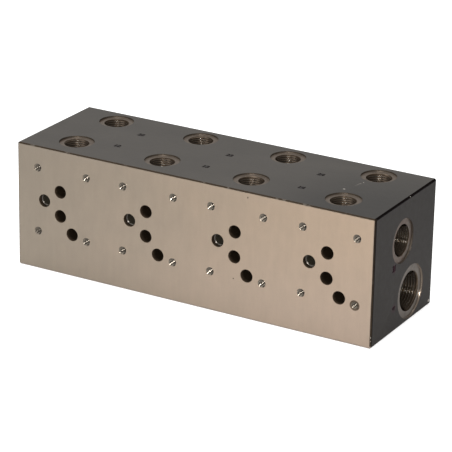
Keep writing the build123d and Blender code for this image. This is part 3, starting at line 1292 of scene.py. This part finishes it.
class SUBPLATE_OT_unwrap(bpy.types.Operator):
    """Lay the bar out flat: six faces side by side, and each hole's wall inside the hole's own mouth"""

    bl_idname = "subplate.unwrap"
    bl_label = "Unwrap the Bar"

    def execute(self, context):
        mesh = bpy.data.objects[BAR_PIECE].data
        corners, first, middles, names = self.read(mesh)
        sides = np.argmin([self.depth_below(middles, side) for side in SIDES], axis=0)
        flat = corners.copy()
        face_of_corner = np.repeat(np.arange(len(middles)), np.diff(first))
        walls = np.isin(names, HOLE_FINISHES)
        holes = drilled_holes(context.scene.subplate_sizes, context.scene.subplate_threads)
        owner = np.argmin([hole.misfit(middles) for hole in holes], axis=0)
        for number, hole in enumerate(holes):
            faces = walls & (owner == number)
            sides[faces] = hole.side
            chosen = faces[face_of_corner]
            flat[chosen] = hole.flatten(corners[chosen], names[face_of_corner[chosen]])
        places = np.empty((len(corners), 2))
        for number, side in enumerate(SIDES):
            chosen = sides[face_of_corner] == number
            places[chosen] = self.on_sheet(flat[chosen], number, side)
        sheet = mesh.uv_layers.new(name="OFBake")
        sheet.data.foreach_set("uv", places.ravel())
        return {"FINISHED"}

    def read(self, mesh):
        """Corner positions, where each face's corners start, the middles of the faces and their finishes."""
        points = column(mesh.vertices, "co", float, 3)
        used = column(mesh.loops, "vertex_index", np.int32)
        first = column(mesh.polygons, "loop_start", np.int32)
        slots = column(mesh.polygons, "material_index", np.int32)
        names = np.array([material.name for material in mesh.materials])
        middles = column(mesh.polygons, "center", float, 3)
        return points[used], np.append(first, len(used)), middles, names[slots]

    def depth_below(self, points, side):
        """How far points lie under one face of the bar."""
        outward = np.array(side[0])
        return abs(outward) @ np.array(BAR_SIZE) / 2 - (points - np.array(BAR_CENTRE)) @ outward

    def on_sheet(self, points, number, side):
        """Places on the sheet: long faces in rows, the two ends beside them."""
        row = max(BAR_SIZE.y, BAR_SIZE.z) + GUTTER
        sheet = max(LONG_FACES * row, BAR_SIZE.x + row) + GUTTER
        corner = (0, row * number)
        if number >= LONG_FACES:
            corner = (BAR_SIZE.x + GUTTER, row * (number - LONG_FACES))
        local = points - np.array(BAR_CENTRE)
        across = [local @ np.array(way) + abs(np.array(way)) @ np.array(BAR_SIZE) / 2 for way in side[1:]]
        return np.stack([(across[i] + corner[i] + GUTTER / 2) / sheet for i in (0, 1)], axis=1)


class DrilledHole:
    """A round hole and its place on the sheet. Its stages are (end depth, smallest and largest radius)."""

    def __init__(self, place, mouth_radius, stages, spot_radius=0.0, spot_depth=0.0):
        mouth, outward = place
        self.mouth = np.array(mouth)
        self.outward = np.array(outward)
        self.mouth_radius = mouth_radius
        self.stages = stages
        self.spot_radius = spot_radius
        self.spot_depth = spot_depth
        self.side = next(n for n, side in enumerate(SIDES) if np.dot(side[0], outward) > 0.5)

    def measure(self, points):
        """Depth, distance from the axis and the way outwards from it."""
        depth = (self.mouth - points) @ self.outward
        spoke = points - self.mouth + depth[:, None] * self.outward
        radius = np.linalg.norm(spoke, axis=1)
        return depth, radius, spoke / np.maximum(radius, SMALLEST)[:, None]

    def misfit(self, points):
        """How far points lie from the wall of this hole: 1 m for those that are at none of its depths."""
        depth, radius, spoke = self.measure(points)
        misfit = np.full(len(points), 1.0)
        start = -1 * MM             # a little above the mouth
        for end, low, high in self.stages:
            inside = (depth >= start - STAGE_OVERLAP) & (depth <= end + STAGE_OVERLAP)
            off = np.maximum(np.maximum(low - radius, radius - high), 0)
            misfit = np.where(inside, np.minimum(misfit, off), misfit)
            start = end
        return misfit

    def flatten(self, points, names):
        """Moves points into the plane of the mouth: the deeper they lie, the nearer to the axis."""
        depth, radius, spoke = self.measure(points)
        rim = self.mouth_radius
        full = self.stages[-1][0] - self.spot_depth
        fall = self.stages[1][0] if self.spot_radius else 1.2 * self.stages[0][0]
        sunk = np.clip(depth - self.spot_depth, 0, full)
        inwards = (1 - np.exp(-sunk / fall)) / (1 - np.exp(-full / fall))
        flat = rim * (1 - WALL_SHARE * inwards)
        ledge = self.spot_radius - rim
        floor = rim + FLOOR_SHARE * np.clip(radius - rim, 0, ledge)
        down = np.clip(depth / (self.spot_depth or 1), 0, 1)
        wall = self.spot_radius - (1 - FLOOR_SHARE) * ledge * down
        flat = np.where(names == "turned_steel", floor, flat)
        flat = np.where(names == "spot_wall_steel", wall, flat)
        return self.mouth + spoke * flat[:, None]


def threaded_ports(sizes, threads):
    """The ports with a pipe thread."""
    galleries = (
        (GALLERY_PORTS["p"], sizes.p_spot, sizes.p_gallery, BAR_SIZE.x, threads.p_pitch),
        (GALLERY_PORTS["t"], sizes.t_spot, sizes.t_gallery, BAR_SIZE.x, threads.t_pitch),
    )
    rows = (
        (names, sizes.top_spot, sizes.top_passage, BAR_HIGH.z - passage_end(row), threads.top_pitch)
        for row, names in TOP_PORTS.items()
    )
    for names, spot, inner, deep, pitch in (*galleries, *rows):
        for name, place in zip(names, spot_places(names)):
            wall = MOUNTS[name]["dims"]
            major, sunk = wall["r_mm"] * MM, spot_depth(name)
            minor = minor_diameter(2 * major, pipe_form(threads), pitch) / 2
            end = sunk + wall["length_mm"] * MM
            stages = [
                (sunk, major, spot / 2 + SLACK),
                (end, minor - SLACK, major + SLACK),
                (end + point_length(2 * minor), inner / 2 - SLACK, minor),
                (deep, inner / 2 - SLACK, inner / 2 + SLACK),
                (deep + point_length(inner), 0, inner / 2),
            ]
            yield DrilledHole(place, major - sizes.lead_in, stages, spot / 2, sunk)


def plain_ports(sizes):
    """The ports of the valve face."""
    bore = sizes.valve_port / 2
    for letter in VALVE_PORTS:
        inner = sizes.p_throat / 2 if letter == "p" else bore
        deep = valve_port_reach(letter)
        stages = [
            (sizes.p_throat_depth + bore, inner - SLACK, bore + SLACK),
            (deep, inner - SLACK, inner + SLACK),
            (deep + point_length(2 * inner), 0, inner),
        ]
        for place in valve_port_places(letter):
            yield DrilledHole(place, bore + sizes.rim_break, stages)


def bolt_holes(patterns, pitch, deep, tapped, sizes, threads):
    """The holes of bolt patterns of one size. The last hole of the last valve has the worn mouth."""
    major = MOUNTS[patterns[0]]["dims"]["hole_r_mm"] * MM
    minor = minor_diameter(2 * major, metric_form(threads), pitch) / 2
    mouth, worn = major + sizes.bolt_lead_in, sizes.worn_mouth / 2
    widest = max(mouth, worn) if patterns == VALVE_PATTERNS else mouth
    stages = [
        (tapped + pitch, minor - SLACK, widest + SLACK),
        (deep, minor - SLACK, minor + SLACK),
        (deep + point_length(2 * minor), 0, minor),
    ]
    last = pattern_holes(VALVE_PATTERNS[-1])[-1]
    for pattern in patterns:
        for place in pattern_holes(pattern):
            yield DrilledHole(place, worn if place == last else mouth, stages)


def drilled_holes(sizes, threads):
    """Every hole of the bar, measured from the face it opens in."""
    return [
        *threaded_ports(sizes, threads),
        *plain_ports(sizes),
        *bolt_holes(
            VALVE_PATTERNS, threads.bolt_pitch, sizes.bolt_hole_depth, sizes.bolt_thread_depth, sizes, threads
        ),
        *bolt_holes(
            [FIXING_PATTERN], threads.fixing_pitch, sizes.fixing_hole_depth, sizes.fixing_thread_depth,
            sizes, threads,
        ),
    ]


class SUBPLATE_OT_studio(bpy.types.Operator):
    """Set up the pale floor, the soft lights and the camera"""

    bl_idname = "subplate.studio"
    bl_label = "Studio"

    def execute(self, context):
        studio = context.scene.subplate_studio
        self.lay_floor(studio, context.scene.subplate_colours.floor)
        self.light_world(studio)
        camera_place = Vector(studio.camera_place)
        for name, place, power, width in (
            ("key_lamp", camera_place + Vector((0, 0, studio.key_lift)), studio.key, studio.key_size),
            ("glint_lamp", studio.glint_place, studio.glint, studio.glint_size),
            ("left_lamp", studio.left_place, studio.left, studio.left_size),
            ("overhead_lamp", studio.top_place, studio.top, studio.top_size),
        ):
            self.hang_lamp(name, Vector(place), power, width)
        bpy.ops.object.camera_add(location=camera_place, rotation=studio.camera_turn)
        camera = context.object
        camera.name = "photo_camera"
        camera.data.sensor_width = 36.0
        camera.data.lens = studio.camera_lens
        camera.data.clip_start = 0.1
        camera.data.clip_end = 20.0
        context.scene.camera = camera
        context.scene.view_settings.view_transform = "Standard"
        return {"FINISHED"}

    def lay_floor(self, studio, pale):
        bpy.ops.object.select_all(action="DESELECT")
        bpy.ops.mesh.primitive_plane_add(size=studio.floor_size, location=(0, 0, -studio.floor_gap))
        floor = bpy.context.object
        floor.name = "floor"
        finish = Finish("pale_floor")
        finish.shine(
            Base_Color=finish.tint(pale, 0.99 + finish.noise(500) * 0.02),
            Roughness=0.6,
            Emission_Color=(1.0, 1.0, 1.0, 1.0),
            Emission_Strength=studio.floor_glow,
        )
        floor.data.materials.append(finish.material)

    def light_world(self, studio):
        world = bpy.data.worlds.new("studio")
        world.use_nodes = True
        sky = world.node_tree.nodes["Background"]
        sky.inputs["Color"].default_value = (1.0, 1.0, 1.0, 1.0)
        sky.inputs["Strength"].default_value = studio.sky
        bpy.context.scene.world = world

    def hang_lamp(self, name, place, power, width):
        bpy.ops.object.light_add(type="AREA", location=place)
        lamp = bpy.context.object
        lamp.name = name
        lamp.data.energy = power
        lamp.data.size = width
        lamp.rotation_euler = (BAR_CENTRE - place).to_track_quat("-Z", "Y").to_euler()


STEPS = (
    SUBPLATE_OT_finishes,
    SUBPLATE_OT_bar,
    SUBPLATE_OT_galleries,
    SUBPLATE_OT_top_ports,
    SUBPLATE_OT_valve_ports,
    SUBPLATE_OT_bolt_holes,
    SUBPLATE_OT_fixing_holes,
    SUBPLATE_OT_marks,
    SUBPLATE_OT_knocks,
    SUBPLATE_OT_close,
    SUBPLATE_OT_unwrap,
    SUBPLATE_OT_studio,
)
GROUPS = {
    "subplate_sizes": SubplateSizes,
    "subplate_threads": SubplateThreads,
    "subplate_marks": SubplateMarks,
    "subplate_colours": SubplateColours,
    "subplate_studio": SubplateStudio,
}


class SUBPLATE_PT_panel(bpy.types.Panel):
    """Sizes, colours and steps of the subplate"""

    bl_idname = "SUBPLATE_PT_panel"
    bl_label = "Hydraulic Subplate"
    bl_space_type = "VIEW_3D"
    bl_region_type = "UI"
    bl_category = "Subplate"

    def draw(self, context):
        for step in STEPS:
            self.layout.operator(step.bl_idname)
        for name, group in GROUPS.items():
            box = self.layout.box()
            box.label(text=group.__doc__)
            for key in group.__annotations__:
                box.prop(getattr(context.scene, name), key)


def register():
    for kind in (*GROUPS.values(), *STEPS, SUBPLATE_PT_panel):
        bpy.utils.register_class(kind)
    for name, group in GROUPS.items():
        setattr(bpy.types.Scene, name, PointerProperty(type=group))


def unregister():
    for name in GROUPS:
        delattr(bpy.types.Scene, name)
    for kind in (SUBPLATE_PT_panel, *reversed(STEPS), *GROUPS.values()):
        bpy.utils.unregister_class(kind)


def main():
    register()
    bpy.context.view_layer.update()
    bpy.ops.subplate.finishes()
    bpy.ops.subplate.bar()
    bpy.ops.subplate.galleries()
    bpy.ops.subplate.top_ports()
    bpy.ops.subplate.valve_ports()
    bpy.ops.subplate.bolt_holes()
    bpy.ops.subplate.fixing_holes()
    bpy.ops.subplate.marks()
    bpy.ops.subplate.knocks()
    bpy.ops.subplate.close()
    bpy.ops.subplate.unwrap()
    bpy.ops.subplate.studio()


if __name__ == "__main__":
    main()
